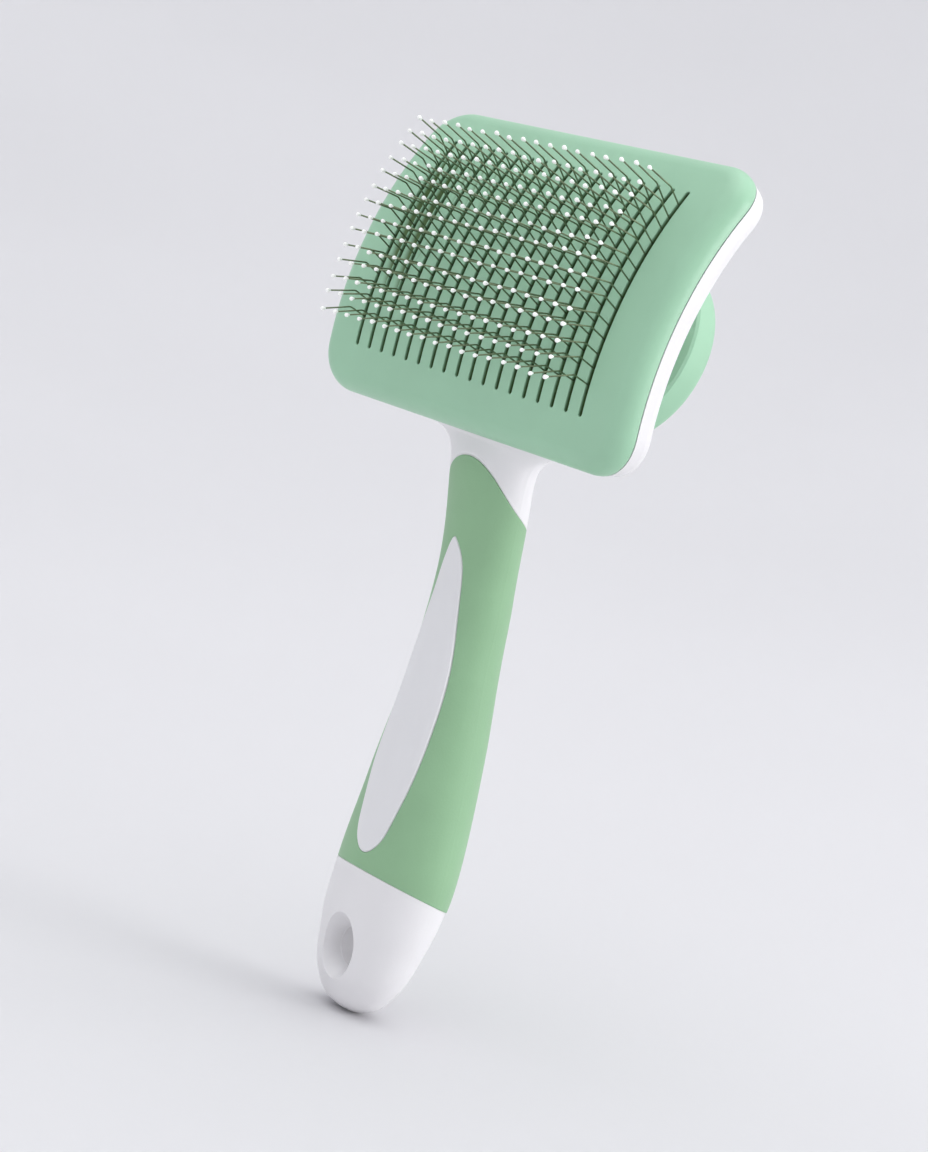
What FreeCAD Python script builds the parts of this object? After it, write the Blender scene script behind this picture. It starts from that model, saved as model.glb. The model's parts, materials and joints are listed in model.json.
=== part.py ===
import FreeCAD, Part
import math
import os

from FreeCAD import Placement, Rotation, Vector

# Self-cleaning slicker brush, in millimetres.
#
# Two working frames are used. Both have their origin at the middle of the brush face.
#   head frame    X across the brush, Y straight back into the head, Z up along the face
#   handle frame  X across the brush, Z up along the handle, Y back
# The head leans back from the handle by HEAD_TILT. Every solid ends up in the part's
# own frame, which is the handle frame moved so that the handle's end is on Z = 0 and
# the whole brush is centred on X and Y.

# ---------------------------------------------------------------- driving dimensions
HEAD_TILT = 16.6        # degrees
HANDLE_DROP = 157.7     # from the middle of the face down to the handle's end
BODY_MIDDLE = 16.5      # from the middle of the face back to the brush's middle

FACE_RADIUS = 84.3      # the face bulges forward, curved along the handle only
HALF_WIDTH = 49.8
HALF_ARC = 35.0         # half the head's height, along the curved face
CORNER = 10.7

# depths behind the face, measured towards the centre of the face's curve
PLATE_THICK = 2.2
PLATE_RIM = 4.4         # the cleaning plate's rim reaches back to here
TRAY_FRONT = 4.7
CARRIER_FRONT = 4.6
CARRIER_BACK = 7.0
TRAY_BACK = 9.6
TRAY_ROUND = 2.6
PAD_FRONT = 2.6

PLATE_EDGE_ROUND = 4.1
PLATE_WALL = 2.4
TRAY_WALL = 3.6
CARRIER_INSET = 4.0

COLUMNS = 18
PITCH = 4.4
SLOT_WIDTH = 1.1
SLOT_TOP = 24.6         # slot ends, as arc lengths from the middle of the face
SLOT_BOTTOM = -24.1
SLOT_EDGE = 0.2         # rounding of the slots' front edges

STAPLES = 7             # U-shaped wires in one column, two pins each
STAPLE_PITCH = 6.0
STAPLE_SPAN = 3.3
STAPLE_MIDDLE = 1.75
WIRE_R = 0.19
TIP_R = 0.5
CROWN_DEPTH = 5.0
CROWN_BEND = 0.7
KNEE_BEND = 1.5
KNEE = (1.1, 4.0)       # (along the face, out from the face) from where a pin leaves it
PIN_END = (-0.6, 10.8)
PIN_FOOT_BACK = 1.33    # how far below its surface point a pin's foot lies

# mechanism, as distances back from the middle of the face
STROKE = 8.5
POST_R = 1.5
POST_X = 3 * PITCH
POST_Z = 11.0
PUSH_PLATE = (20.0, 22.3)
PUSH_PLATE_R = 20.5
SPRING_SEATS = (7.4, 20.8)
SPRING_SEAT_GAP = 0.6           # between a spring and the round seat it stands in
SPRING_R = 2.5
SPRING_WIRE_R = 0.3
SPRING_TURNS = 6
HOUSING_R = 33.0
HOUSING_SHOULDER = 8.0          # how far back its straight side ends
HOUSING_FLANK = (30.2, 18.5)    # (radius, back) half way up its rounded side
HOUSING_BLEND = 3.0
CAVITY_R = 22.5
LEDGE_R = 21.3
LEDGE = 23.8
COVER = (25.2, 27.6)
LUG_REACH = 20.4
LUG_R = 2.7
STEM_R = 7.0
BUSH_R = 8.6
BUSH_FLANGE_R = 10.4
BUSH_STOP = 22.6        # the push plate comes to rest against the bush here
RUNNING_GAP = 0.06
BUTTON_R = 21.2
BUTTON_FRONT = 36.6
BUTTON_TOP = 45.4
BUTTON_DOME = 1.0       # how much the middle of its back stands out
BUTTON_WALL = 2.1
CEILING_CORNER = 3.4    # the slanted corner between the cap's inside wall and its ceiling
STEM_FLANGE = (36.9, 39.1)

CARRIER_SCREW_R = 0.95
COVER_SCREW_R = 0.95
COVER_HEAD_R = 1.9
POST_SCREW_R = 0.7
BUTTON_SCREW_R = 1.4

GRIP_THICK = 1.7
CORE_WALL = 2.4
GRIP_BOTTOM = (-127.25, -0.34)  # (height at the depth of the face, slope towards the back)
TONGUE = (              # (back, height) of the grip's top edge, a tongue at the front
    (0.5, -34.0), (2.85, -38.3), (3.64, -40.1), (4.7, -42.0),
    (6.3, -44.4), (8.4, -46.8), (14.2, -50.8), (24.0, -54.0),
)
PART_LINE = 0.2         # rounding where the grip's parts meet each other
TANG_LENGTH = 14.0

INLAY_DEPTH = 1.1
INLAY_PROUD = 0.15
INLAY_EDGE = 0.35
INLAY_ENDS = (-56.0, -123.4)
INLAY_WIDTHS = (        # (height, half width) down the right side
    (-58.5, 2.1), (-66.5, 4.1), (-79.0, 6.1), (-96.0, 7.1),
    (-107.0, 6.7), (-115.5, 5.3), (-121.0, 3.5),
)

HOLE_R = 4.2
HOLE_Z = -144.0
HOLE_FRONT = -2.1
HOLE_BACK = 14.5
HOLE_MOUTH = (          # (depth, half width, half height) of its mouths' ovals
    (-3.4, 6.6, 8.4), (0.0, 5.3, 7.2), (1.3, 4.75, 6.3), (2.8, 4.42, 5.2), (4.4, 4.3, 4.3),
)

# handle sections: height, middle (back from the face), half width, half depth
SECTIONS = (
    (-30.0, 9.6, 20.5, 7.6),
    (-33.5, 8.6, 26.0, 6.2),
    (-35.0, 9.1, 19.0, 6.3),
    (-36.5, 9.4, 14.6, 6.5),
    (-39.0, 9.5, 12.2, 6.7),
    (-43.0, 9.8, 11.1, 6.9),
    (-48.0, 10.5, 10.5, 7.1),
    (-58.0, 11.6, 9.6, 7.3),
    (-67.0, 12.05, 9.6, 7.6),
    (-77.0, 12.0, 9.8, 8.3),
    (-87.0, 11.75, 10.6, 9.0),
    (-98.0, 11.25, 12.2, 9.7),
    (-110.0, 10.45, 13.7, 10.25),
    (-121.0, 9.55, 15.0, 10.45),
    (-129.0, 8.75, 15.5, 10.3),
)
CAP_SECTIONS = (
    (-136.0, 7.5, 15.1, 9.75),
    (-141.0, 6.75, 14.3, 9.15),
    (-145.0, 6.15, 13.5, 8.4),
    (-149.6, 5.5, 12.0, 7.4),
    (-152.4, 5.15, 10.2, 6.3),
    (-154.4, 5.05, 8.65, 5.4),
    (-156.0, 5.15, 6.5, 4.2),
    (-157.1, 5.35, 4.0, 2.6),
    (-157.7, 5.5, 2.0, 1.3),
)
NECK_INSIDE = ((-14.0, 13.0, 17.0, 9.0), (-22.0, 12.0, 17.5, 9.0))
HOLLOW_SECTIONS = SECTIONS[5:] + CAP_SECTIONS[:1]

ACROSS = Vector(1, 0, 0)
BACK = Vector(0, 1, 0)
UP = Vector(0, 0, 1)
BIG = 400.0


# ---------------------------------------------------------------- frames
def face_point(arc, out=0.0, x=0.0):
    """A point of the head frame: arc along the face, out in front of it."""
    angle = arc / FACE_RADIUS
    radius = FACE_RADIUS + out
    return Vector(x, FACE_RADIUS - radius * math.cos(angle), radius * math.sin(angle))


def beside(arc, offset):
    """The point at (along, out) in the flat frame that touches the face at arc."""
    angle = arc / FACE_RADIUS
    along = Vector(0, math.sin(angle), math.cos(angle))
    out = Vector(0, -math.cos(angle), math.sin(angle))
    return face_point(arc) + along * offset[0] + out * offset[1]


def head_to_handle(shape):
    moved = shape.copy()
    moved.Placement = Placement(Vector(), Rotation(ACROSS, -HEAD_TILT)) * moved.Placement
    return moved


# ---------------------------------------------------------------- small tools
def group(solids):
    return Part.makeCompound(list(solids))


def rod(radius, start, end):
    axis = end - start
    return Part.makeCylinder(radius, axis.Length, start, axis)


def rod_back(radius, front, back, x=0.0, z=0.0):
    """A cylinder along the head frame's Y, from front to back."""
    return rod(radius, Vector(x, front, z), Vector(x, back, z))


def turned(points):
    """A solid turned about the head frame's Y from (radius, back) corner points."""
    corners = [Vector(radius, back, 0) for radius, back in points]
    face = Part.Face(Part.makePolygon(corners + corners[:1]))
    return face.revolve(Vector(), BACK, 360)


def four_posts():
    return [(x, z) for x in (-POST_X, POST_X) for z in (-POST_Z, POST_Z)]


# ---------------------------------------------------------------- head blocks
def face_cylinder(depth):
    radius = FACE_RADIUS - depth
    return Part.makeCylinder(radius, BIG, Vector(-BIG / 2, FACE_RADIUS, 0), ACROSS)


def rounded_rectangle(half_w, half_h, corner, back):
    """A closed wire across the head at a distance back, with arcs at its corners."""
    edges = []
    centres = (
        (half_w - corner, half_h - corner, 0),
        (corner - half_w, half_h - corner, 90),
        (corner - half_w, corner - half_h, 180),
        (half_w - corner, corner - half_h, 270),
    )

    def on_corner(centre, degrees):
        turn = math.radians(degrees)
        return Vector(
            centre[0] + corner * math.cos(turn), back, centre[1] + corner * math.sin(turn)
        )

    for index, centre in enumerate(centres):
        start = centre[2]
        first = on_corner(centre, start)
        last = on_corner(centre, start + 90)
        edges.append(Part.Arc(first, on_corner(centre, start + 45), last).toShape())
        following = centres[(index + 1) % 4]
        edges.append(Part.makeLine(last, on_corner(following, following[2])))
    return Part.Wire(edges)


def head_block(inset, front, back):
    """The head's outline, drawn in by inset, between two depths behind the face.

    The sides are flat and the top and bottom fan out from the centre of the curve.
    """
    slope = math.tan(HALF_ARC / FACE_RADIUS)
    wires = []
    for distance in (-12.0, 36.0):
        reach = FACE_RADIUS - distance
        shrink = reach / FACE_RADIUS
        half_h = reach * slope - inset / math.cos(HALF_ARC / FACE_RADIUS)
        corner = max(CORNER - inset, 2.0) * shrink
        wires.append(rounded_rectangle(HALF_WIDTH - inset, half_h, corner, distance))
    prism = Part.makeLoft(wires, True, True)
    layer = face_cylinder(front).cut(face_cylinder(back))
    return prism.common(layer)


def edges_at_depth(shape, depth, within=BIG):
    """The edges that lie in one of a head block's curved faces, near enough its middle."""
    radius = FACE_RADIUS - depth
    found = []
    for edge in shape.Edges:
        points = edge.discretize(7)
        gap = max(abs(math.hypot(p.y - FACE_RADIUS, p.z) - radius) for p in points)
        if gap < 0.05 and max(math.hypot(p.x, p.z) for p in points) < within:
            found.append(edge)
    return found


# ---------------------------------------------------------------- handle blocks
def section_wire(section, shrink):
    height, middle, half_w, half_d = section
    half_w = half_w - shrink
    half_d = half_d - shrink
    turn = Placement(Vector(0, middle, height), Rotation())
    if half_w >= half_d:
        ring = Part.Ellipse(Vector(), half_w, half_d).toShape()
    else:
        ring = Part.Ellipse(Vector(), half_d, half_w).toShape()
        turn = turn * Placement(Vector(), Rotation(UP, 90))
    ring.Placement = turn
    return Part.Wire([ring])


def handle_loft(sections, shrink=0.0):
    return Part.makeLoft([section_wire(s, shrink) for s in sections], True, False)


def slanted_space(cut, above):
    """The half space above or below a plane that slopes from front to back."""
    height, slope = cut
    tilt = math.degrees(math.atan(slope))
    box = Part.makeBox(BIG, BIG, BIG, Vector(-BIG / 2, -BIG / 2, 0 if above else -BIG))
    box.Placement = Placement(Vector(0, 0, height), Rotation(ACROSS, tilt))
    return box


def tongue_space(above):
    """The space above or below the grip's top edge, which is the same right across."""
    points = [Vector(0, back, height) for back, height in TONGUE]
    curve = Part.BSplineCurve()
    curve.interpolate(points)
    end = BIG if above else -BIG
    far = [Vector(0, points[-1].y, end), Vector(0, points[0].y - BIG, end),
           Vector(0, points[0].y - BIG, points[0].z)]
    sides = zip([points[-1]] + far, far + [points[0]])
    edges = [curve.toShape()] + [Part.makeLine(first, last) for first, last in sides]
    face = Part.Face(Part.Wire(edges)).translated(ACROSS * -BIG / 2)
    return face.extrude(ACROSS * BIG)


def handle_envelope(shrink=0.0):
    return handle_loft(NECK_INSIDE + SECTIONS + CAP_SECTIONS[:1], shrink)


# ---------------------------------------------------------------- cleaning plate
def slots():
    """The slots run straight back, the way the plate slides."""
    top = face_point(SLOT_TOP).z - SLOT_WIDTH / 2
    bottom = face_point(SLOT_BOTTOM).z + SLOT_WIDTH / 2
    cutters = []
    for column in range(COLUMNS):
        x = column_x(column)
        cutters.append(
            Part.makeBox(SLOT_WIDTH, 20, top - bottom, Vector(x - SLOT_WIDTH / 2, -6, bottom))
        )
        cutters.append(rod_back(SLOT_WIDTH / 2, -6, 14, x, top))
        cutters.append(rod_back(SLOT_WIDTH / 2, -6, 14, x, bottom))
    return cutters


def column_x(column):
    return (column - (COLUMNS - 1) / 2) * PITCH


def face_plate():
    block = head_block(0, 0, PLATE_RIM)
    block = block.makeFillet(PLATE_EDGE_ROUND, edges_at_depth(block, 0))
    shell = block.cut(head_block(PLATE_WALL, PLATE_THICK, PLATE_RIM + 2))
    shell = shell.cut(slots())
    shell = shell.makeFillet(SLOT_EDGE, slot_edges(shell))
    posts = []
    for x, z in four_posts():
        post = rod_back(POST_R, PLATE_THICK / 2 + face_sag(z), PUSH_PLATE[0], x, z)
        posts.append(post.cut(rod_back(POST_SCREW_R, PUSH_PLATE[0] - 5, PUSH_PLATE[0] + 1, x, z)))
    return shell.fuse(posts)


def slot_edges(plate):
    """The edges of the slots in the plate's front face."""
    reach = COLUMNS * PITCH / 2 + 0.5
    found = []
    for edge in edges_at_depth(plate, 0):
        box = edge.BoundBox
        if max(-box.XMin, box.XMax) < reach and max(-box.ZMin, box.ZMax) < SLOT_TOP + 1:
            found.append(edge)
    return found


def face_sag(z):
    """How far the curved face has fallen back at a height z."""
    return FACE_RADIUS - math.sqrt(FACE_RADIUS ** 2 - z ** 2)


# ---------------------------------------------------------------- pins
def bent_wire(points, radii):
    """Straight runs through points, with an arc of the given radius at each inner one."""
    edges = []
    start = points[0]
    for index in range(1, len(points) - 1):
        before, here, after = points[index - 1:index + 2]
        came = (here - before).normalize()
        goes = (after - here).normalize()
        turn = came.getAngle(goes)
        trim = radii[index - 1] * math.tan(turn / 2)
        first = here - came * trim
        last = here + goes * trim
        inward = (goes - came).normalize()
        sag = radii[index - 1] * (1 / math.cos(turn / 2) - 1)
        edges.append(Part.makeLine(start, first))
        edges.append(Part.Arc(first, here + inward * sag, last).toShape())
        start = last
    edges.append(Part.makeLine(start, points[-1]))
    return Part.Wire(edges)


def swept_wire(path, radius):
    start = path.Edges[0]
    point = start.valueAt(start.FirstParameter)
    profile = Part.Wire([Part.makeCircle(radius, point, start.tangentAt(start.FirstParameter))])
    return path.makePipeShell([profile], True, False)


def pin_points(arc):
    """Foot, knee and end of the pin that comes out of the face at arc."""
    foot = beside(arc, (-PIN_FOOT_BACK, -CROWN_DEPTH))
    return foot, beside(arc, KNEE), beside(arc, PIN_END)


def staple_arcs(index):
    middle = STAPLE_MIDDLE + (index - (STAPLES - 1) / 2) * STAPLE_PITCH
    return middle - STAPLE_SPAN / 2, middle + STAPLE_SPAN / 2


def staple(index):
    """One U of wire: down one pin, along the crown behind the pad and up the other."""
    low, high = staple_arcs(index)
    foot_low, knee_low, end_low = pin_points(low)
    foot_high, knee_high, end_high = pin_points(high)
    points = [end_low, knee_low, foot_low, foot_high, knee_high, end_high]
    path = bent_wire(points, [KNEE_BEND, CROWN_BEND, CROWN_BEND, KNEE_BEND])
    return swept_wire(path, WIRE_R)


def pin_tips(index):
    """The two round plastic beads on a staple, each with a blind hole for its pin."""
    beads = []
    for arc in staple_arcs(index):
        knee, end = pin_points(arc)[1:]
        beads.append(Part.makeSphere(TIP_R, end).cut(rod(WIRE_R, knee, end)))
    return beads


# ---------------------------------------------------------------- fixed head parts
def pin_pad():
    """The rubber pad that the pins stand in, only as wide as the field of pins."""
    block = head_block(CARRIER_INSET, PAD_FRONT, CARRIER_FRONT)
    wide = COLUMNS * PITCH
    block = block.common(Part.makeBox(wide, BIG, BIG, Vector(-wide / 2, -BIG / 2, -BIG / 2)))
    return block.cut([rod_back(POST_R + 0.4, -2, 12, x, z) for x, z in four_posts()])


def carrier_screw_places():
    return [(side * 43.0, arc) for side in (-1, 1) for arc in (-21.0, 0.0, 21.0)]


def radial_rod(radius, x, arc, front, back):
    """A cylinder that points at the centre of the face's curve, between two depths."""
    return rod(radius, face_point(arc, -front, x), face_point(arc, -back, x))


def pin_carrier():
    """The hard plate behind the pad, grooved for the staples' crowns."""
    block = head_block(CARRIER_INSET, CARRIER_FRONT, CARRIER_BACK)
    groove_depth = CROWN_DEPTH + WIRE_R + 0.15
    top = staple_arcs(STAPLES - 1)[1] + 1.0
    bottom = staple_arcs(0)[0] - PIN_FOOT_BACK - 1.0
    layer = face_cylinder(CARRIER_FRONT - 0.5).cut(face_cylinder(groove_depth))
    width = 2 * WIRE_R + 0.2
    low = face_point(bottom, -groove_depth).z
    high = face_point(top, -groove_depth).z
    strips = [
        Part.makeBox(width, 40, high - low, Vector(column_x(c) - width / 2, -5, low))
        for c in range(COLUMNS)
    ]
    cutters = [group(strips).common(layer)]
    cutters += [rod_back(POST_R + 0.35, -2, 16, x, z) for x, z in four_posts()]
    cutters += [rod_back(SPRING_R + SPRING_SEAT_GAP, SPRING_SEATS[0] - 0.05, 12, x, z)
                for x, z in four_posts()]
    cutters += [radial_rod(1.1, x, arc, 3, 9) for x, arc in carrier_screw_places()]
    return block.cut(cutters)


def carrier_screws():
    screws = []
    for x, arc in carrier_screw_places():
        head = radial_rod(1.9, x, arc, CARRIER_FRONT - 1.2, CARRIER_FRONT)
        shank = radial_rod(CARRIER_SCREW_R, x, arc, CARRIER_FRONT - 0.2, TRAY_BACK - 0.6)
        screw = head.fuse(shank)
        for turn in (0, 90):
            screw = screw.cut(cross_slot(x, arc, CARRIER_FRONT - 1.2, turn))
        screws.append(screw)
    return screws


def cross_slot(x, arc, depth, turn):
    """One bar of a cross recess in a screw head that points out of the face."""
    bar = Part.makeBox(1.9, 0.45, 0.9, Vector(-0.95, -0.225, -0.45))
    bar.rotate(Vector(), UP, turn)
    bar.rotate(Vector(), ACROSS, 90 - math.degrees(arc / FACE_RADIUS))
    return bar.translated(face_point(arc, -depth, x))


# ---------------------------------------------------------------- body
def head_tray():
    block = head_block(0, TRAY_FRONT, TRAY_BACK)
    return block.makeFillet(TRAY_ROUND, edges_at_depth(block, TRAY_BACK))


def housing():
    """The raised round housing behind the head that carries the button."""
    shoulder = Vector(HOUSING_R, HOUSING_SHOULDER, 0)
    foot = Vector(HOUSING_R, 2.0, 0)
    lip = Vector(CAVITY_R + 2.6, COVER[1] - 1.6, 0)
    lip_middle = Vector(CAVITY_R + 2.1, COVER[1] - 0.5, 0)
    rim = Vector(CAVITY_R + 0.9, COVER[1], 0)
    edges = [
        Part.makeLine(Vector(0, foot.y, 0), foot),
        Part.makeLine(foot, shoulder),
        Part.Arc(shoulder, Vector(*HOUSING_FLANK, 0), lip).toShape(),
        Part.Arc(lip, lip_middle, rim).toShape(),
        Part.makeLine(rim, Vector(0, rim.y, 0)),
        Part.makeLine(Vector(0, rim.y, 0), Vector(0, foot.y, 0)),
    ]
    dome = Part.Face(Part.Wire(edges)).revolve(Vector(), BACK, 360)
    return dome.common(face_cylinder(TRAY_BACK - 0.5))


def lug_places():
    """Middles of the four lugs that the cover is screwed to."""
    return [(LUG_REACH, 0), (0, LUG_REACH), (-LUG_REACH, 0), (0, -LUG_REACH)]


def cover_lugs():
    lugs = []
    for x, z in lug_places():
        lug = rod_back(LUG_R, COVER[0] - 6.5, COVER[0], x, z)
        pilot = rod_back(COVER_SCREW_R, COVER[0] - 5.5, COVER[0] + 1, *screw_place(x, z))
        lugs.append(lug.cut(pilot))
    return lugs


def screw_place(x, z):
    """A cover screw stands a little nearer the middle than its lug does."""
    return 0.965 * x, 0.965 * z


def main_body():
    """Head tray, button housing, neck and handle core, moulded in one piece."""
    neck = handle_envelope().common(tongue_space(True))
    neck = neck.makeFillet(PART_LINE, [e for e in surface_edges(neck) if e.BoundBox.ZMin < -40])
    core = handle_envelope(GRIP_THICK).common(slanted_space(GRIP_BOTTOM, True))
    head = head_tray().fuse(housing())
    head = head.makeFillet(HOUSING_BLEND, edges_at_depth(head, TRAY_BACK, HOUSING_R + 3))
    head = head_to_handle(head)
    body = head.fuse([neck, core])
    cutters = [
        head_block(TRAY_WALL, TRAY_FRONT - 1, CARRIER_BACK + 0.05),
        rod_back(CAVITY_R, 0, LEDGE),
        rod_back(LEDGE_R, 0, COVER[1] + 5),
        rod_back(CAVITY_R, COVER[0], COVER[1] + 5),
    ]
    for x, arc in carrier_screw_places():
        cutters.append(radial_rod(CARRIER_SCREW_R, x, arc, 5, TRAY_BACK - 0.6))
    for cutter in cutters:
        body = body.cut(head_to_handle(cutter))
    body = body.fuse([head_to_handle(lug) for lug in cover_lugs()])
    return body.cut(handle_loft(HOLLOW_SECTIONS, GRIP_THICK + CORE_WALL))


def housing_cover():
    """The round cover that closes the housing behind the push plate."""
    outer = CAVITY_R - 0.15
    cover = turned([
        (BUSH_R, COVER[0]), (outer, COVER[0]), (outer, COVER[1] - 0.5),
        (outer - 0.5, COVER[1]), (BUSH_R, COVER[1]),
    ])
    for x, z in lug_places():
        x, z = screw_place(x, z)
        cover = cover.cut(rod_back(COVER_SCREW_R + 0.2, COVER[0] - 1, COVER[1] + 1, x, z))
        cover = cover.cut(rod_back(COVER_HEAD_R + 0.15, COVER[1] - 1.1, COVER[1] + 1, x, z))
    return cover


def guide_bush():
    """A slippery bush, pushed into the cover from inside, that the stem slides through."""
    inner = STEM_R + RUNNING_GAP
    outer = BUSH_R - 0.03
    return turned([
        (inner, BUSH_STOP), (BUSH_FLANGE_R, BUSH_STOP), (BUSH_FLANGE_R, COVER[0]),
        (outer, COVER[0]), (outer, COVER[1] + 0.4), (inner, COVER[1] + 0.4),
    ])


def cover_screws():
    screws = []
    for x, z in lug_places():
        x, z = screw_place(x, z)
        screws.append(
            pan_screw(COVER_HEAD_R, 1.0, COVER_SCREW_R, COVER[1] - 1.1, COVER[0] - 5, x, z)
        )
    return screws


def pan_screw(head_r, head_height, shank_r, seat, point, x=0.0, z=0.0):
    """A screw along the head frame's Y, from its point to its seat, with a cross recess."""
    away = 1 if seat > point else -1
    top = seat + away * head_height
    ends = sorted((seat, top))
    head = rod_back(head_r, ends[0], ends[1], x, z)
    shank = rod_back(shank_r, min(seat, point), max(seat, point), x, z)
    screw = head.fuse(shank)
    depth = 0.55 * head_height
    length = 1.1 * head_r
    width = 0.28 * head_r
    for across, tall in ((length, width), (width, length)):
        bar = Part.makeBox(across, 2 * depth, tall)
        screw = screw.cut(bar.translated(Vector(x - across / 2, top - depth, z - tall / 2)))
    return screw


# ---------------------------------------------------------------- moving parts
def push_plate():
    """The plate in the housing that joins the button to the cleaning plate's posts."""
    front, back = PUSH_PLATE
    plate = rod_back(PUSH_PLATE_R, front, back)
    cutters = [rod_back(LUG_R + 0.7, front - 1, back + 1, x, z) for x, z in lug_places()]
    cutters.append(rod_back(BUTTON_SCREW_R, front - 1, back + 1))
    for x, z in four_posts():
        cutters.append(rod_back(POST_SCREW_R, front - 1, back + 1, x, z))
        seat = rod_back(SPRING_R + SPRING_SEAT_GAP, front - 1, SPRING_SEATS[1], x, z)
        cutters.append(seat.cut(rod_back(POST_R + 0.2, front, back, x, z)))
    return plate.cut(cutters)


def post_screws():
    front, back = PUSH_PLATE
    return [pan_screw(1.6, 1.0, POST_SCREW_R, back, front - 4, x, z) for x, z in four_posts()]


def return_springs():
    springs = []
    front, back = SPRING_SEATS
    height = back - front - 2 * SPRING_WIRE_R
    helix = Part.makeHelix(height / SPRING_TURNS, height, SPRING_R)
    profile = Part.Wire([Part.makeCircle(SPRING_WIRE_R, Vector(SPRING_R, 0, 0), BACK)])
    coil = Part.Wire(helix.Edges).makePipeShell([profile], True, True)
    coil.Placement = Placement(Vector(0, front + SPRING_WIRE_R, 0), Rotation(ACROSS, -90))
    for x, z in four_posts():
        springs.append(coil.translated(Vector(x, 0, z)))
    return springs


def cap_ceiling(radius):
    """How far back the inside of the button's cap is at a distance from its middle."""
    slope = (BUTTON_DOME / (BUTTON_R - BUTTON_WALL - CEILING_CORNER))
    return BUTTON_TOP - BUTTON_WALL - slope * radius


def button_stem():
    """The stem that slides in the bush, with the flange that closes the button's cap."""
    inside = cap_ceiling(STEM_R) - 0.1
    flange_r = BUTTON_R - BUTTON_WALL - 0.1
    stem = turned([
        (0, PUSH_PLATE[1]), (STEM_R, PUSH_PLATE[1]), (STEM_R, STEM_FLANGE[0]),
        (flange_r, STEM_FLANGE[0]), (flange_r, STEM_FLANGE[1]), (STEM_R, STEM_FLANGE[1]),
        (STEM_R, inside), (0, inside),
    ])
    pilot = rod_back(BUTTON_SCREW_R, PUSH_PLATE[1] - 1, PUSH_PLATE[1] + 8)
    hollow = rod_back(STEM_R - 2.2, PUSH_PLATE[1] + 9.5, inside + 1)
    return stem.cut([pilot, hollow])


def button_screw():
    front = PUSH_PLATE[0]
    return pan_screw(3.0, 1.6, BUTTON_SCREW_R, front, PUSH_PLATE[1] + 7)


def button_cap():
    """The thumb button: a thick disc with a rounded rim and a slightly domed back."""
    rim = BUTTON_TOP - BUTTON_DOME
    wall = BUTTON_R - BUTTON_WALL
    dome_edge = BUTTON_R - 3.4
    dome_r = (dome_edge ** 2 + BUTTON_DOME ** 2) / (2 * BUTTON_DOME)
    half_drop = dome_r - math.sqrt(dome_r ** 2 - (dome_edge / 2) ** 2)
    outside = [
        Vector(wall, BUTTON_FRONT, 0),
        Vector(BUTTON_R - 0.5, BUTTON_FRONT, 0),
        Vector(BUTTON_R, BUTTON_FRONT + 0.5, 0),
        Vector(BUTTON_R - 0.4, rim - 3.0, 0),
    ]
    inside = [
        Vector(0, BUTTON_TOP, 0),
        Vector(0, BUTTON_TOP - BUTTON_WALL, 0),
        Vector(wall - CEILING_CORNER, rim - BUTTON_WALL, 0),
        Vector(wall, rim - 4.2, 0),
        Vector(wall, BUTTON_FRONT, 0),
    ]
    edges = [Part.makeLine(*pair) for pair in zip(outside, outside[1:])]
    edges.append(Part.Arc(outside[-1], Vector(BUTTON_R - 1.3, rim - 0.9, 0),
                          Vector(dome_edge, rim, 0)).toShape())
    edges.append(Part.Arc(Vector(dome_edge, rim, 0),
                          Vector(dome_edge / 2, BUTTON_TOP - half_drop, 0),
                          inside[0]).toShape())
    edges += [Part.makeLine(*pair) for pair in zip(inside, inside[1:])]
    return Part.Face(Part.Wire(edges)).revolve(Vector(), BACK, 360)


# ---------------------------------------------------------------- handle parts
def inlay_outline(grow):
    """The teardrop on the front of the grip, narrow at the top."""
    half = [(height, width + grow) for height, width in INLAY_WIDTHS]
    top, bottom = INLAY_ENDS[0] + grow, INLAY_ENDS[1] - grow
    right = [Vector(width, 0, height) for height, width in half]
    left = [Vector(-width, 0, height) for height, width in reversed(half)]
    curve = Part.BSplineCurve()
    points = [Vector(0, 0, top)] + right + [Vector(0, 0, bottom)] + left
    curve.interpolate(points, True)
    return Part.Wire([curve.toShape()])


def inlay_prism(grow):
    """The teardrop run forward from the middle of the handle."""
    face = Part.Face(inlay_outline(grow)).translated(BACK * 9)
    return face.extrude(BACK * -40)


def surface_edges(shape):
    """The closed edges of a handle part that lie on the handle's surface."""
    core = handle_envelope(0.6)
    found = []
    for edge in shape.Edges:
        if edge.isClosed() and not core.isInside(edge.valueAt(edge.FirstParameter), 0.01, False):
            found.append(edge)
    return found


def grip_sleeve():
    """The soft sleeve moulded over the handle's core, with a window for the inlay."""
    sleeve = handle_envelope().common(tongue_space(False))
    sleeve = sleeve.common(slanted_space(GRIP_BOTTOM, True))
    sleeve = sleeve.cut(handle_envelope(GRIP_THICK))
    sleeve = sleeve.cut(inlay_prism(0.05).cut(handle_envelope(INLAY_DEPTH)))
    return sleeve.makeFillet(PART_LINE, surface_edges(sleeve))


def grip_inlay():
    inlay = inlay_prism(0).common(handle_envelope(-INLAY_PROUD))
    inlay = inlay.cut(handle_envelope(INLAY_DEPTH))
    return inlay.makeFillet(INLAY_EDGE, surface_edges(inlay))


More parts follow.
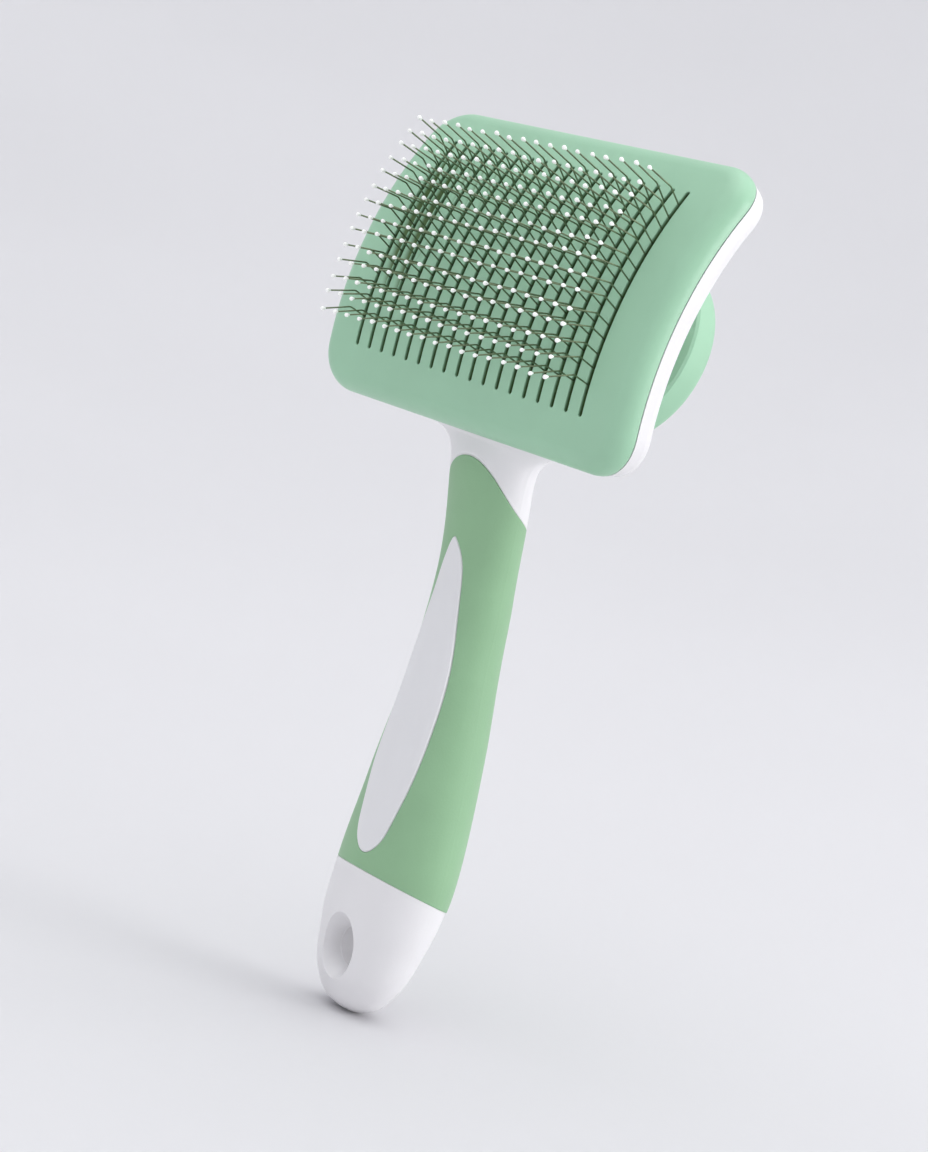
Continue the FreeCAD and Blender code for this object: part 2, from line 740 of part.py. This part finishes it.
def end_cap():
    """The cap at the handle's end: hanging hole below, a tang above that plugs the core."""
    cap = handle_loft(SECTIONS[-3:] + CAP_SECTIONS)
    cap = cap.common(slanted_space(GRIP_BOTTOM, False))
    cap = cap.makeFillet(PART_LINE, [e for e in surface_edges(cap) if e.Length > 60])
    tang = handle_loft(HOLLOW_SECTIONS, GRIP_THICK + CORE_WALL + 0.08)
    tang = tang.common(slanted_space((GRIP_BOTTOM[0] + TANG_LENGTH, GRIP_BOTTOM[1]), False))
    cap = cap.fuse(tang)
    cap = cap.cut(rod(HOLE_R, Vector(0, -20, HOLE_Z), Vector(0, 40, HOLE_Z)))
    return cap.cut([flared_mouth(HOLE_FRONT, 1), flared_mouth(HOLE_BACK, -1)])


def flared_mouth(surface, inwards):
    """A mouth of the hanging hole: a soft oval lip that narrows to the round hole."""
    ovals = []
    for depth, half_w, half_h in HOLE_MOUTH:
        oval = Part.Ellipse(Vector(), half_h, half_w).toShape()
        oval.Placement = Placement(Vector(0, surface + depth * inwards, HOLE_Z),
                                   Rotation(ACROSS, 90) * Rotation(UP, 90))
        ovals.append(Part.Wire([oval]))
    return Part.makeLoft(ovals, True, False)


# ---------------------------------------------------------------- whole brush
def pins(chosen):
    """The staples, and their beads, at the chosen (column, index) places."""
    staples = [staple(index) for index in range(STAPLES)]
    tips = [pin_tips(index) for index in range(STAPLES)]
    wires = []
    beads = []
    for column, index in chosen:
        across = Vector(column_x(column), 0, 0)
        wires.append(staples[index].translated(across))
        beads += [bead.translated(across) for bead in tips[index]]
    return wires, beads


def head_parts():
    places = [(column, index) for column in range(COLUMNS) for index in range(STAPLES)]
    props = [place for place in places if place[0] in (0, COLUMNS - 1)
             and place[1] in (0, STAPLES // 2, STAPLES - 1)]
    prop_pins, prop_pin_tips = pins(props)
    field_pins, field_pin_tips = pins([place for place in places if place not in props])
    return {
        "face_plate": [face_plate()],
        "pin_pad": [pin_pad()],
        "pin_carrier": [pin_carrier()],
        "carrier_screws": carrier_screws(),
        "prop_pins": prop_pins,
        "prop_pin_tips": prop_pin_tips,
        "field_pins": field_pins,
        "field_pin_tips": field_pin_tips,
        "housing_cover": [housing_cover()],
        "guide_bush": [guide_bush()],
        "cover_screws": cover_screws(),
        "push_plate": [push_plate()],
        "post_screws": post_screws(),
        "return_springs": return_springs(),
        "button_stem": [button_stem()],
        "button_screw": [button_screw()],
        "button_cap": [button_cap()],
    }


def handle_parts():
    return {
        "main_body": [main_body()],
        "grip_sleeve": [grip_sleeve()],
        "grip_inlay": [grip_inlay()],
        "end_cap": [end_cap()],
    }


def build():
    nodes = {}
    for name, solids in head_parts().items():
        nodes[name] = [head_to_handle(solid) for solid in solids]
    nodes.update(handle_parts())
    shift = Vector(0, -BODY_MIDDLE, HANDLE_DROP)
    for name, solids in nodes.items():
        moved = [solid.translated(shift) for solid in solids]
        nodes[name] = moved[0] if len(moved) == 1 else group(moved)
    return nodes


if __name__ == "__main__":
    os.makedirs("parts", exist_ok=True)
    for name, shape in build().items():
        shape.exportStep(os.path.join("parts", name + ".step"))
        print(name, len(shape.Solids), shape.isValid(), round(shape.Volume, 1))
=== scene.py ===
import json
import math
import random

import bmesh
import bpy
from mathutils import Matrix, Vector


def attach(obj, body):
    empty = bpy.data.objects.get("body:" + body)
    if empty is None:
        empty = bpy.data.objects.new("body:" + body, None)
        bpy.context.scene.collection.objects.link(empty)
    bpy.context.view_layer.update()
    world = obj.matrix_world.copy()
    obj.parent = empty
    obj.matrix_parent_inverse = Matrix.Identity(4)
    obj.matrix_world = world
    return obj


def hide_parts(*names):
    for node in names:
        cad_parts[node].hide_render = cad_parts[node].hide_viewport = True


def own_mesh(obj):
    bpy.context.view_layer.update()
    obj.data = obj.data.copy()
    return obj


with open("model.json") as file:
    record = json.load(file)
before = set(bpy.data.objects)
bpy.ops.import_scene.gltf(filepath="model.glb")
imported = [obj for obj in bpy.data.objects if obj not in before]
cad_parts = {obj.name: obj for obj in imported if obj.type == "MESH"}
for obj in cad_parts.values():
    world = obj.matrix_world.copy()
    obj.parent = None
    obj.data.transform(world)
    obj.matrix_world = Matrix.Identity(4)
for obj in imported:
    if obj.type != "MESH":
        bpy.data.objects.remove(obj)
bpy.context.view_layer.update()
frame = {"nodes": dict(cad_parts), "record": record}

# Self-cleaning slicker brush. Lengths are in metres, in the CAD model's own frame: the
# brush stands on the end of its handle, +Z runs up the handle and the pins point along -Y.
MM = 0.001

# ---------------------------------------------------------------- the head's frame
JOINT = frame["record"]["behaviour"]["joints"][0]
OUT = Vector(JOINT["axis"]).normalized()            # straight out of the face
ACROSS = Vector((1, 0, 0))
ALONG = ACROSS.cross(-OUT)                          # up the face
FACE_MIDDLE = Vector((0, -16.5, 157.7)) * MM
FACE_RADIUS = 84.3 * MM

COLUMNS = 18
PITCH = 4.4 * MM
STAPLES = 7                                         # U-shaped wires in a column
STAPLE_PITCH = 6.0 * MM
STAPLE_SPAN = 3.3 * MM
STAPLE_MIDDLE = 1.75 * MM
WIRE_RADIUS = 0.17 * MM
FOOT = Vector((-1.33, -5.0)) * MM                   # (along the face, out from the face)
KNEE = Vector((1.1, 4.0)) * MM
PIN_END = Vector((-0.6, 10.8)) * MM
KNEE_RADIUS = 1.5 * MM
CROWN_RADIUS = 0.7 * MM
PAD_DEPTH = 2.6 * MM                                # the pins are held from here inwards
SIDE_SWAY = 0.16 * MM                               # how far a pin's end strays in use
LONG_SWAY = 0.25 * MM
FAN = 0.15 * MM                                     # a row's extra lean over the row below
FAN_MIDDLE = 1.2                                    # the row, from the bottom, without it
BEAD_RADIUS = 0.43 * MM
BEAD_SHAPE = (                                      # (along the pin, radius), in bead radii
    (-1.75, 0.0), (-1.70, 0.42), (-1.25, 0.55), (-0.85, 0.78), (-0.45, 0.94),
    (0.0, 1.0), (0.4, 0.91), (0.72, 0.68), (0.92, 0.37), (1.0, 0.0),
)
SLOT_FIELD = (39.0 * MM, 26.0 * MM)                 # half the slotted area, across and up, where painted shade is laid
SLOT_DEPTHS = (0.12 * MM, 0.7 * MM)                 # painted shade fades in on the plate's face over these depths

POSTS = [(x * MM, z * MM) for x in (-13.2, 13.2) for z in (-11.0, 11.0)]
SPRING_SEATS = (7.4 * MM, 20.8 * MM)
SPRING_RADIUS = 2.5 * MM
SPRING_WIRE = 0.3 * MM
SPRING_TURNS = 6
SPRING_STEPS = 24                                   # points in one turn
SPRING_CLOSING = 0.09                               # how much closer the end turns lie

# ---------------------------------------------------------------- colours, as linear RGB
MINT = (0.365, 0.636, 0.435)
MINT_GRIP = (0.289, 0.506, 0.293)
WHITE = (0.862, 0.852, 0.862)
INLAY_WHITE = (0.840, 0.840, 0.852)
# painted shade: the dark green laid into the plate's slots, where shadow falls
SLOT_PAINTED_SHADE = (0.095, 0.175, 0.055)
PAD_GREEN = (0.030, 0.060, 0.026)
WIRE_GREY = (0.190, 0.240, 0.145)
BEAD_WHITE = (0.900, 0.905, 0.890)
INNER_GREY = (0.580, 0.595, 0.580)
ACETAL = (0.820, 0.800, 0.710)
ZINC = (0.560, 0.575, 0.590)
SPRING_STEEL = (0.330, 0.335, 0.345)
BACKDROP = (0.688, 0.683, 0.700)


def shade(colour, factor):
    """The same colour, lighter or darker."""
    return tuple(min(1.0, channel * factor) for channel in colour)


# ---------------------------------------------------------------- materials
class Finish:
    """A material made of one Principled shader and textures laid on in the part's frame."""

    def __init__(self, name):
        self.material = bpy.data.materials.new(name)
        self.material.use_nodes = True
        self.tree = self.material.node_tree
        self.shader = self.tree.nodes["Principled BSDF"]
        self.place = self.tree.nodes.new("ShaderNodeTexCoord").outputs["Object"]

    def set(self, **values):
        for name, value in values.items():
            self.shader.inputs[name.replace("_", " ").title()].default_value = value

    def noise(self, size, detail=2.0, stretch=(1, 1, 1)):
        """Cloudy noise whose features are about size across."""
        mapping = self.tree.nodes.new("ShaderNodeMapping")
        mapping.inputs["Scale"].default_value = stretch
        texture = self.tree.nodes.new("ShaderNodeTexNoise")
        texture.inputs["Scale"].default_value = 1 / size
        texture.inputs["Detail"].default_value = detail
        self.tree.links.new(self.place, mapping.inputs["Vector"])
        self.tree.links.new(mapping.outputs["Vector"], texture.inputs["Vector"])
        return texture.outputs["Fac"]

    def pits(self, size):
        """Rounded cells about size across, for a moulded stipple."""
        texture = self.tree.nodes.new("ShaderNodeTexVoronoi")
        texture.feature = "SMOOTH_F1"
        texture.inputs["Scale"].default_value = 1 / size
        self.tree.links.new(self.place, texture.inputs["Vector"])
        return texture.outputs["Distance"]

    def colour(self, pattern, dark, light):
        """Base colour from dark to light as the pattern goes from 0.3 to 0.7."""
        ramp = self.tree.nodes.new("ShaderNodeValToRGB")
        ramp.color_ramp.elements[0].position = 0.3
        ramp.color_ramp.elements[0].color = (*dark, 1)
        ramp.color_ramp.elements[1].position = 0.7
        ramp.color_ramp.elements[1].color = (*light, 1)
        self.tree.links.new(pattern, ramp.inputs["Fac"])
        self.tree.links.new(ramp.outputs["Color"], self.shader.inputs["Base Color"])

    def roughness(self, pattern, low, high):
        spread = self.tree.nodes.new("ShaderNodeMapRange")
        spread.inputs["From Min"].default_value = 0.3
        spread.inputs["From Max"].default_value = 0.7
        spread.inputs["To Min"].default_value = low
        spread.inputs["To Max"].default_value = high
        self.tree.links.new(pattern, spread.inputs["Value"])
        self.tree.links.new(spread.outputs["Result"], self.shader.inputs["Roughness"])

    def maths(self, operation, *values):
        """The result of a maths node whose inputs are sockets or plain numbers."""
        node = self.tree.nodes.new("ShaderNodeMath")
        node.operation = operation
        for number, value in enumerate(values):
            if isinstance(value, bpy.types.NodeSocket):
                self.tree.links.new(value, node.inputs[number])
            else:
                node.inputs[number].default_value = value
        return node.outputs[0]

    def distance_along(self, axis, origin):
        """How far the shaded point lies from origin along axis."""
        node = self.tree.nodes.new("ShaderNodeVectorMath")
        node.operation = "DOT_PRODUCT"
        node.inputs[1].default_value = axis
        self.tree.links.new(self.place, node.inputs[0])
        return self.maths("SUBTRACT", node.outputs["Value"], origin.dot(axis))

    def slot_shade(self):
        """Mask for painted shade: 0 on the plate's face, rising to 1 inside its slots, where shadow
        falls.
        """
        centre = FACE_MIDDLE - OUT * FACE_RADIUS
        out = self.distance_along(OUT, centre)
        up = self.distance_along(ALONG, centre)
        across = self.distance_along(ACROSS, centre)
        out_squared = self.maths("MULTIPLY", out, out)
        up_squared = self.maths("MULTIPLY", up, up)
        radius = self.maths("SQRT", self.maths("ADD", out_squared, up_squared))
        depth = self.maths("SUBTRACT", FACE_RADIUS, radius)
        fade = self.tree.nodes.new("ShaderNodeMapRange")
        fade.inputs["From Min"].default_value = SLOT_DEPTHS[0]
        fade.inputs["From Max"].default_value = SLOT_DEPTHS[1]
        self.tree.links.new(depth, fade.inputs["Value"])
        shade_here = fade.outputs["Result"]
        for place, limit in ((across, SLOT_FIELD[0]), (up, SLOT_FIELD[1])):
            inside = self.maths("LESS_THAN", self.maths("ABSOLUTE", place), limit)
            shade_here = self.maths("MULTIPLY", shade_here, inside)
        return shade_here

    def bump(self, *layers):
        """Relief from (pattern, height) layers, coarse first."""
        normal = None
        for pattern, height in layers:
            bump = self.tree.nodes.new("ShaderNodeBump")
            bump.inputs["Strength"].default_value = 1.0
            bump.inputs["Distance"].default_value = height
            self.tree.links.new(pattern, bump.inputs["Height"])
            if normal:
                self.tree.links.new(normal, bump.inputs["Normal"])
            normal = bump.outputs["Normal"]
        self.tree.links.new(normal, self.shader.inputs["Normal"])


def moulded_plastic(name, colour, rough, grain=0.35 * MM, depth=0.012 * MM, tint=0.035):
    """Moulded plastic: faint flow clouds, a fine spark-eroded grain and slow waviness."""
    finish = Finish(name)
    clouds = finish.noise(22 * MM, 3.0)
    fine = finish.noise(grain, 2.0)
    waves = finish.noise(9 * MM, 1.0)
    finish.colour(clouds, shade(colour, 1 - tint), shade(colour, 1 + tint))
    finish.roughness(fine, rough - 0.05, rough + 0.06)
    finish.bump((waves, 0.02 * MM), (fine, depth))
    return finish


def plate_plastic():
    """Mint plastic with a deep green painted shade inside the slots."""
    finish = moulded_plastic("plate_plastic", MINT, 0.36)
    shader = finish.shader
    clean = shader.inputs["Base Color"].links[0].from_socket
    # mixes the painted slot shade into the plate's colour
    mix = finish.tree.nodes.new("ShaderNodeMix")
    mix.data_type = "RGBA"
    mix.inputs["B"].default_value = (*SLOT_PAINTED_SHADE, 1)
    finish.tree.links.new(finish.slot_shade(), mix.inputs["Factor"])
    finish.tree.links.new(clean, mix.inputs["A"])
    finish.tree.links.new(mix.outputs["Result"], shader.inputs["Base Color"])
    return finish


def soft_grip():
    """Soft-touch rubber: a matt stipple with a faint bloom at grazing angles."""
    finish = Finish("soft_grip")
    clouds = finish.noise(16 * MM, 4.0)
    stipple = finish.pits(0.42 * MM)
    grain = finish.noise(0.16 * MM, 2.0)
    finish.colour(clouds, shade(MINT_GRIP, 0.96), shade(MINT_GRIP, 1.04))
    finish.roughness(grain, 0.52, 0.66)
    finish.bump((stipple, 0.018 * MM), (grain, 0.008 * MM))
    finish.set(sheen_weight=0.12, sheen_roughness=0.45)
    return finish


def pad_rubber():
    finish = Finish("pad_rubber")
    clouds = finish.noise(5 * MM, 3.0)
    grain = finish.noise(0.25 * MM, 3.0)
    finish.colour(clouds, shade(PAD_GREEN, 0.85), shade(PAD_GREEN, 1.15))
    finish.roughness(grain, 0.6, 0.8)
    finish.bump((grain, 0.02 * MM))
    return finish


def metal(name, colour, rough, grain=0.3 * MM, stretch=(1, 1, 1), depth=0.004 * MM):
    """Plain metal, with drawing marks or plating mottle from the grain."""
    finish = Finish(name)
    marks = finish.noise(grain, 3.0, stretch)
    finish.colour(marks, shade(colour, 0.85), shade(colour, 1.15))
    finish.roughness(marks, rough - 0.07, rough + 0.09)
    finish.bump((marks, depth))
    finish.set(metallic=1.0)
    return finish


def bead_plastic():
    """Dipped resin beads, with a faint painted glow standing in for their translucency."""
    finish = Finish("bead_plastic")
    clouds = finish.noise(0.9 * MM, 2.0)
    finish.colour(clouds, shade(BEAD_WHITE, 0.95), shade(BEAD_WHITE, 1.05))
    # painted light: a faint glow of their own, though the beads are no lamp
    finish.set(emission_color=(1, 1, 0.98, 1), emission_strength=0.22)
    finish.roughness(clouds, 0.18, 0.32)
    finish.bump((clouds, 0.02 * MM))
    return finish


def backdrop_paper():
    finish = Finish("backdrop_paper")
    clouds = finish.noise(0.5, 2.0)
    tooth = finish.noise(0.002, 3.0)
    finish.colour(clouds, shade(BACKDROP, 0.985), shade(BACKDROP, 1.015))
    finish.roughness(tooth, 0.8, 0.9)
    finish.bump((tooth, 0.02 * MM))
    return finish


def make_finishes():
    white = moulded_plastic("white_plastic", WHITE, 0.40, tint=0.015)
    mint = moulded_plastic("mint_plastic", MINT, 0.38)
    return {
        "mint_plastic": mint,
        "plate_plastic": plate_plastic(),
        "white_plastic": white,
        "inlay_plastic": moulded_plastic("inlay_plastic", INLAY_WHITE, 0.46, tint=0.015),
        "soft_grip": soft_grip(),
        "pad_rubber": pad_rubber(),
        "pin_wire": metal("pin_wire", WIRE_GREY, 0.34),
        "tip_plastic": bead_plastic(),
        "inner_plastic": moulded_plastic("inner_plastic", INNER_GREY, 0.55, 0.5 * MM, 0.03 * MM),
        "bush_plastic": moulded_plastic("bush_plastic", ACETAL, 0.33),
        "zinc_steel": metal("zinc_steel", ZINC, 0.30),
        "spring_steel": metal("spring_steel", SPRING_STEEL, 0.28),
    }


OWN_FINISH = {"grip_inlay": "inlay_plastic", "face_plate": "plate_plastic"}


def finish_of(node, finishes):
    """The record's material slot for a CAD node, or a finish of its own."""
    if node in OWN_FINISH:
        return finishes[OWN_FINISH[node]].material
    for part in frame["record"]["subparts"]:
        if part["node"] == node:
            return finishes[part["material_slot"]].material
    raise KeyError(node)


def paint_cad_nodes(finishes):
    for name, node in frame["nodes"].items():
        node.data.materials.clear()
        node.data.materials.append(finish_of(name, finishes))


# ---------------------------------------------------------------- geometry helpers
def mesh_object(name, bm, material):
    """An object from bm, shaded smooth, in the scene."""
    bmesh.ops.recalc_face_normals(bm, faces=bm.faces)
    for face in bm.faces:
        face.smooth = True
    mesh = bpy.data.meshes.new(name)
    bm.to_mesh(mesh)
    bm.free()
    mesh.materials.append(material)
    piece = bpy.data.objects.new(name, mesh)
    bpy.context.scene.collection.objects.link(piece)
    return piece


def head_point(x, back, up):
    """A point given across the head, back from the middle of the face, and up the face."""
    return FACE_MIDDLE + ACROSS * x - OUT * back + ALONG * up


def near_face(x, arc, offset):
    """The point at offset (along, out) in the flat frame that touches the face at arc."""
    angle = arc / FACE_RADIUS
    back = FACE_RADIUS * (1 - math.cos(angle))
    up = FACE_RADIUS * math.sin(angle)
    back += offset.x * math.sin(angle) - offset.y * math.cos(angle)
    up += offset.x * math.cos(angle) + offset.y * math.sin(angle)
    return head_point(x, back, up)


def rounded_line(corners, radii, steps=6):
    """Points along straight runs between corners, with an arc at each inner corner."""
    points = [corners[0]]
    for before, here, after, radius in zip(corners, corners[1:], corners[2:], radii):
        came = (here - before).normalized()
        goes = (after - here).normalized()
        turn = came.angle(goes)
        trim = radius * math.tan(turn / 2)
        centre = here + (goes - came).normalized() * (radius / math.cos(turn / 2))
        first = here - came * trim - centre
        axis = came.cross(goes).normalized()
        for step in range(steps + 1):
            turned = Matrix.Rotation(turn * step / steps, 3, axis) @ first
            points.append(centre + turned)
    points.append(corners[-1])
    return points


def add_ring(bm, centre, first, second, radius, sides):
    """A ring of vertices in the plane of two directions at right angles."""
    ring = []
    for corner in range(sides):
        angle = math.tau * corner / sides
        offset = first * math.cos(angle) + second * math.sin(angle)
        ring.append(bm.verts.new(centre + offset * radius))
    return ring


def join_rings(bm, rings):
    """A band of faces between each ring and the next."""
    for ring, following in zip(rings, rings[1:]):
        for corner in range(len(ring)):
            other = (corner + 1) % len(ring)
            bm.faces.new((ring[corner], ring[other], following[other], following[corner]))


def add_tube(bm, points, radius, sides=10):
    """A closed tube of one radius along points, with a ring of vertices at each."""
    rings = []
    normal = None
    for index, point in enumerate(points):
        before = points[max(index - 1, 0)]
        after = points[min(index + 1, len(points) - 1)]
        direction = (after - before).normalized()
        if normal is None:
            normal = direction.orthogonal().normalized()
        normal = (normal - direction * normal.dot(direction)).normalized()
        rings.append(add_ring(bm, point, normal, direction.cross(normal), radius, sides))
    join_rings(bm, rings)
    bm.faces.new(rings[0])
    bm.faces.new(rings[-1])


def add_turned(bm, base, axis, profile, sides=14):
    """A closed solid of revolution about axis, from (along, radius) profile points."""
    side = axis.orthogonal().normalized()
    other_side = axis.cross(side)
    tip_low = bm.verts.new(base + axis * profile[0][0])
    tip_high = bm.verts.new(base + axis * profile[-1][0])
    rings = []
    for along, radius in profile[1:-1]:
        rings.append(add_ring(bm, base + axis * along, side, other_side, radius, sides))
    for corner in range(sides):
        other = (corner + 1) % sides
        bm.faces.new((tip_low, rings[0][other], rings[0][corner]))
        bm.faces.new((tip_high, rings[-1][corner], rings[-1][other]))
    join_rings(bm, rings)


# ---------------------------------------------------------------- pins
def column_x(column):
    return (column - (COLUMNS - 1) / 2) * PITCH


def staple_arcs(index):
    middle = STAPLE_MIDDLE + (index - (STAPLES - 1) / 2) * STAPLE_PITCH
    return middle - STAPLE_SPAN / 2, middle + STAPLE_SPAN / 2


def pin_corners(x, arc, sway, lean):
    """Foot, knee and end of a pin. Its free part strays by sway, more towards its end.

    Past the knee it also leans up the face, by lean at its end."""
    corners = []
    reach = PIN_END.y + PAD_DEPTH
    for offset in (FOOT, KNEE, PIN_END + Vector((lean, 0))):
        stray = max(0.0, offset.y + PAD_DEPTH) / reach
        moved = offset + Vector((sway.y * stray, 0))
        corners.append(near_face(x + sway.x * stray, arc, moved))
    return corners


def add_staple(wires, beads, column, index, chance):
    """One U-shaped wire, and the beads on its two ends."""
    sides = []
    lean = FAN * (index - FAN_MIDDLE)
    for arc in staple_arcs(index):
        sway = Vector((chance.uniform(-1, 1) * SIDE_SWAY, chance.uniform(-1, 1) * LONG_SWAY))
        foot, knee, end = pin_corners(column_x(column), arc, sway, lean)
        sides.append((foot, knee, end))
        radius = BEAD_RADIUS * chance.uniform(0.92, 1.08)
        profile = [(along * radius, width * radius) for along, width in BEAD_SHAPE]
        add_turned(beads, end, (end - knee).normalized(), profile)
    low, high = sides
    corners = [low[2], low[1], low[0], high[0], high[1], high[2]]
    radii = [KNEE_RADIUS, CROWN_RADIUS, CROWN_RADIUS, KNEE_RADIUS]
    add_tube(wires, rounded_line(corners, radii), WIRE_RADIUS)


def pins_and_beads(kind, places, chance, finishes):
    """The wires at (column, index) places as one piece, and their beads as another."""
    wires = bmesh.new()
    beads = bmesh.new()
    for column, index in places:
        add_staple(wires, beads, column, index, chance)
    dress_pins(f"bent_{kind}_pins", wires, "pin_wire", f"{kind}_pins", finishes)
    dress_pins(f"dipped_{kind}_pins", beads, "tip_plastic", f"{kind}_pin_tips", finishes)


def dress_pins(name, bm, slot, node, finishes):
    """The piece made of bm, which takes the place of a CAD node on the brush."""
    piece = mesh_object(name, bm, finishes[slot].material)
    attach(piece, "brush")
    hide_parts(node)


def build_pins(finishes):
    """All the pins. Those that the brush may rest on are in the two outermost columns."""
    chance = random.Random(7)
    places = [(column, index) for column in range(COLUMNS) for index in range(STAPLES)]
    props = [place for place in places if place[0] in (0, COLUMNS - 1)
             and place[1] in (0, STAPLES // 2, STAPLES - 1)]
    field = [place for place in places if place not in props]
    pins_and_beads("prop", props, chance, finishes)
    pins_and_beads("field", field, chance, finishes)


# ---------------------------------------------------------------- springs
def build_springs(finishes):
    """Four coil springs with closer end turns, made at one fixed length; on the brush they shorten
    as the button is pressed.
    """
    bm = bmesh.new()
    front, back = SPRING_SEATS
    low = front + SPRING_WIRE
    travel = back - front - 2 * SPRING_WIRE
    steps = SPRING_TURNS * SPRING_STEPS
    for x, z in POSTS:
        points = []
        for step in range(steps + 1):
            share = step / steps
            rise = travel * (share - SPRING_CLOSING * math.sin(math.tau * share))
            angle = math.tau * SPRING_TURNS * share
            points.append(head_point(
                x + SPRING_RADIUS * math.cos(angle), low + rise, z + SPRING_RADIUS * math.sin(angle)
            ))
        add_tube(bm, points, SPRING_WIRE, sides=8)
    springs = mesh_object("coil_springs", bm, finishes["spring_steel"].material)
    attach(springs, "brush")
    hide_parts("return_springs")
    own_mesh(springs)


# ---------------------------------------------------------------- studio
STUDIO_FLOOR = 0.6
STUDIO_CURVE = 2.6
STUDIO_WALL = 3.6
STUDIO_STEPS = 24                                   # steps in the curve from floor to wall
STUDIO_SIDES = 96


def studio_sweep(finishes):
    """A pale round studio: a flat floor that curves up into a wall on every side."""
    profile = [(0.0, 0.0), (STUDIO_FLOOR / 2, 0.0), (STUDIO_FLOOR, 0.0)]
    for step in range(1, STUDIO_STEPS + 1):
        angle = math.pi / 2 * step / STUDIO_STEPS
        profile.append((STUDIO_FLOOR + STUDIO_CURVE * math.sin(angle),
                        STUDIO_CURVE * (1 - math.cos(angle))))
    profile.append((STUDIO_FLOOR + STUDIO_CURVE, STUDIO_WALL))
    bm = bmesh.new()
    edges = []
    verts = [bm.verts.new((radius, 0, height)) for radius, height in profile]
    for first, second in zip(verts, verts[1:]):
        edges.append(bm.edges.new((first, second)))
    bmesh.ops.spin(bm, geom=verts + edges, cent=(0, 0, 0), axis=(0, 0, 1),
                   angle=math.tau, steps=STUDIO_SIDES, use_merge=True)
    bmesh.ops.remove_doubles(bm, verts=bm.verts, dist=1e-5)
    sweep = mesh_object("studio_sweep", bm, finishes["backdrop"].material)


def soft_box(name, place, size, power):
    """A square light at place, turned towards the middle of the brush."""
    light = bpy.data.lights.new(name, "AREA")
    light.size = size
    light.energy = power
    lamp = bpy.data.objects.new(name, light)
    lamp.location = place
    aim = Vector((0, 0, 0.1)) - Vector(place)
    lamp.rotation_euler = aim.to_track_quat("-Z", "Y").to_euler()
    lamp.visible_camera = False
    bpy.context.scene.collection.objects.link(lamp)


def studio_lights():
    """A big light beside the brush, weaker ones behind and above it, and a pale sky."""
    soft_box("side", (1.3, 0.9, 0.45), 0.8, 11.0)
    soft_box("back", (0.4, 1.1, 0.9), 1.0, 1.8)
    soft_box("top", (0.0, 0.1, 1.8), 1.4, 4.1)
    world = bpy.data.worlds.new("studio")
    world.use_nodes = True
    background = world.node_tree.nodes["Background"]
    background.inputs["Color"].default_value = (0.965, 0.98, 1.0, 1)
    background.inputs["Strength"].default_value = 1.33
    bpy.context.scene.world = world


CAMERA_PLACE = Vector((450.83, -379.91, 172.97)) * MM
CAMERA_FORWARD = Vector((-0.76436, 0.63073, -0.13392))
CAMERA_RIGHT = Vector((0.5963, 0.77048, 0.22537))
CAMERA_LENS = 89.81


def studio_camera():
    """The camera, level with the brush's head and tipped on its side a little."""
    up = CAMERA_RIGHT.cross(CAMERA_FORWARD)
    camera = bpy.data.objects.new("camera", bpy.data.cameras.new("camera"))
    camera.data.lens = CAMERA_LENS
    camera.data.clip_start = 0.02
    camera.data.clip_end = 20
    turn = Matrix((CAMERA_RIGHT, up, -CAMERA_FORWARD)).transposed().to_4x4()
    camera.matrix_world = Matrix.Translation(CAMERA_PLACE) @ turn
    bpy.context.scene.collection.objects.link(camera)
    bpy.context.scene.camera = camera


# ---------------------------------------------------------------- the scene
def main():
    finishes = make_finishes()
    finishes["backdrop"] = backdrop_paper()
    paint_cad_nodes(finishes)
    build_pins(finishes)
    build_springs(finishes)
    studio_sweep(finishes)
    studio_lights()
    studio_camera()
    bpy.context.scene.view_settings.view_transform = "Standard"


main()
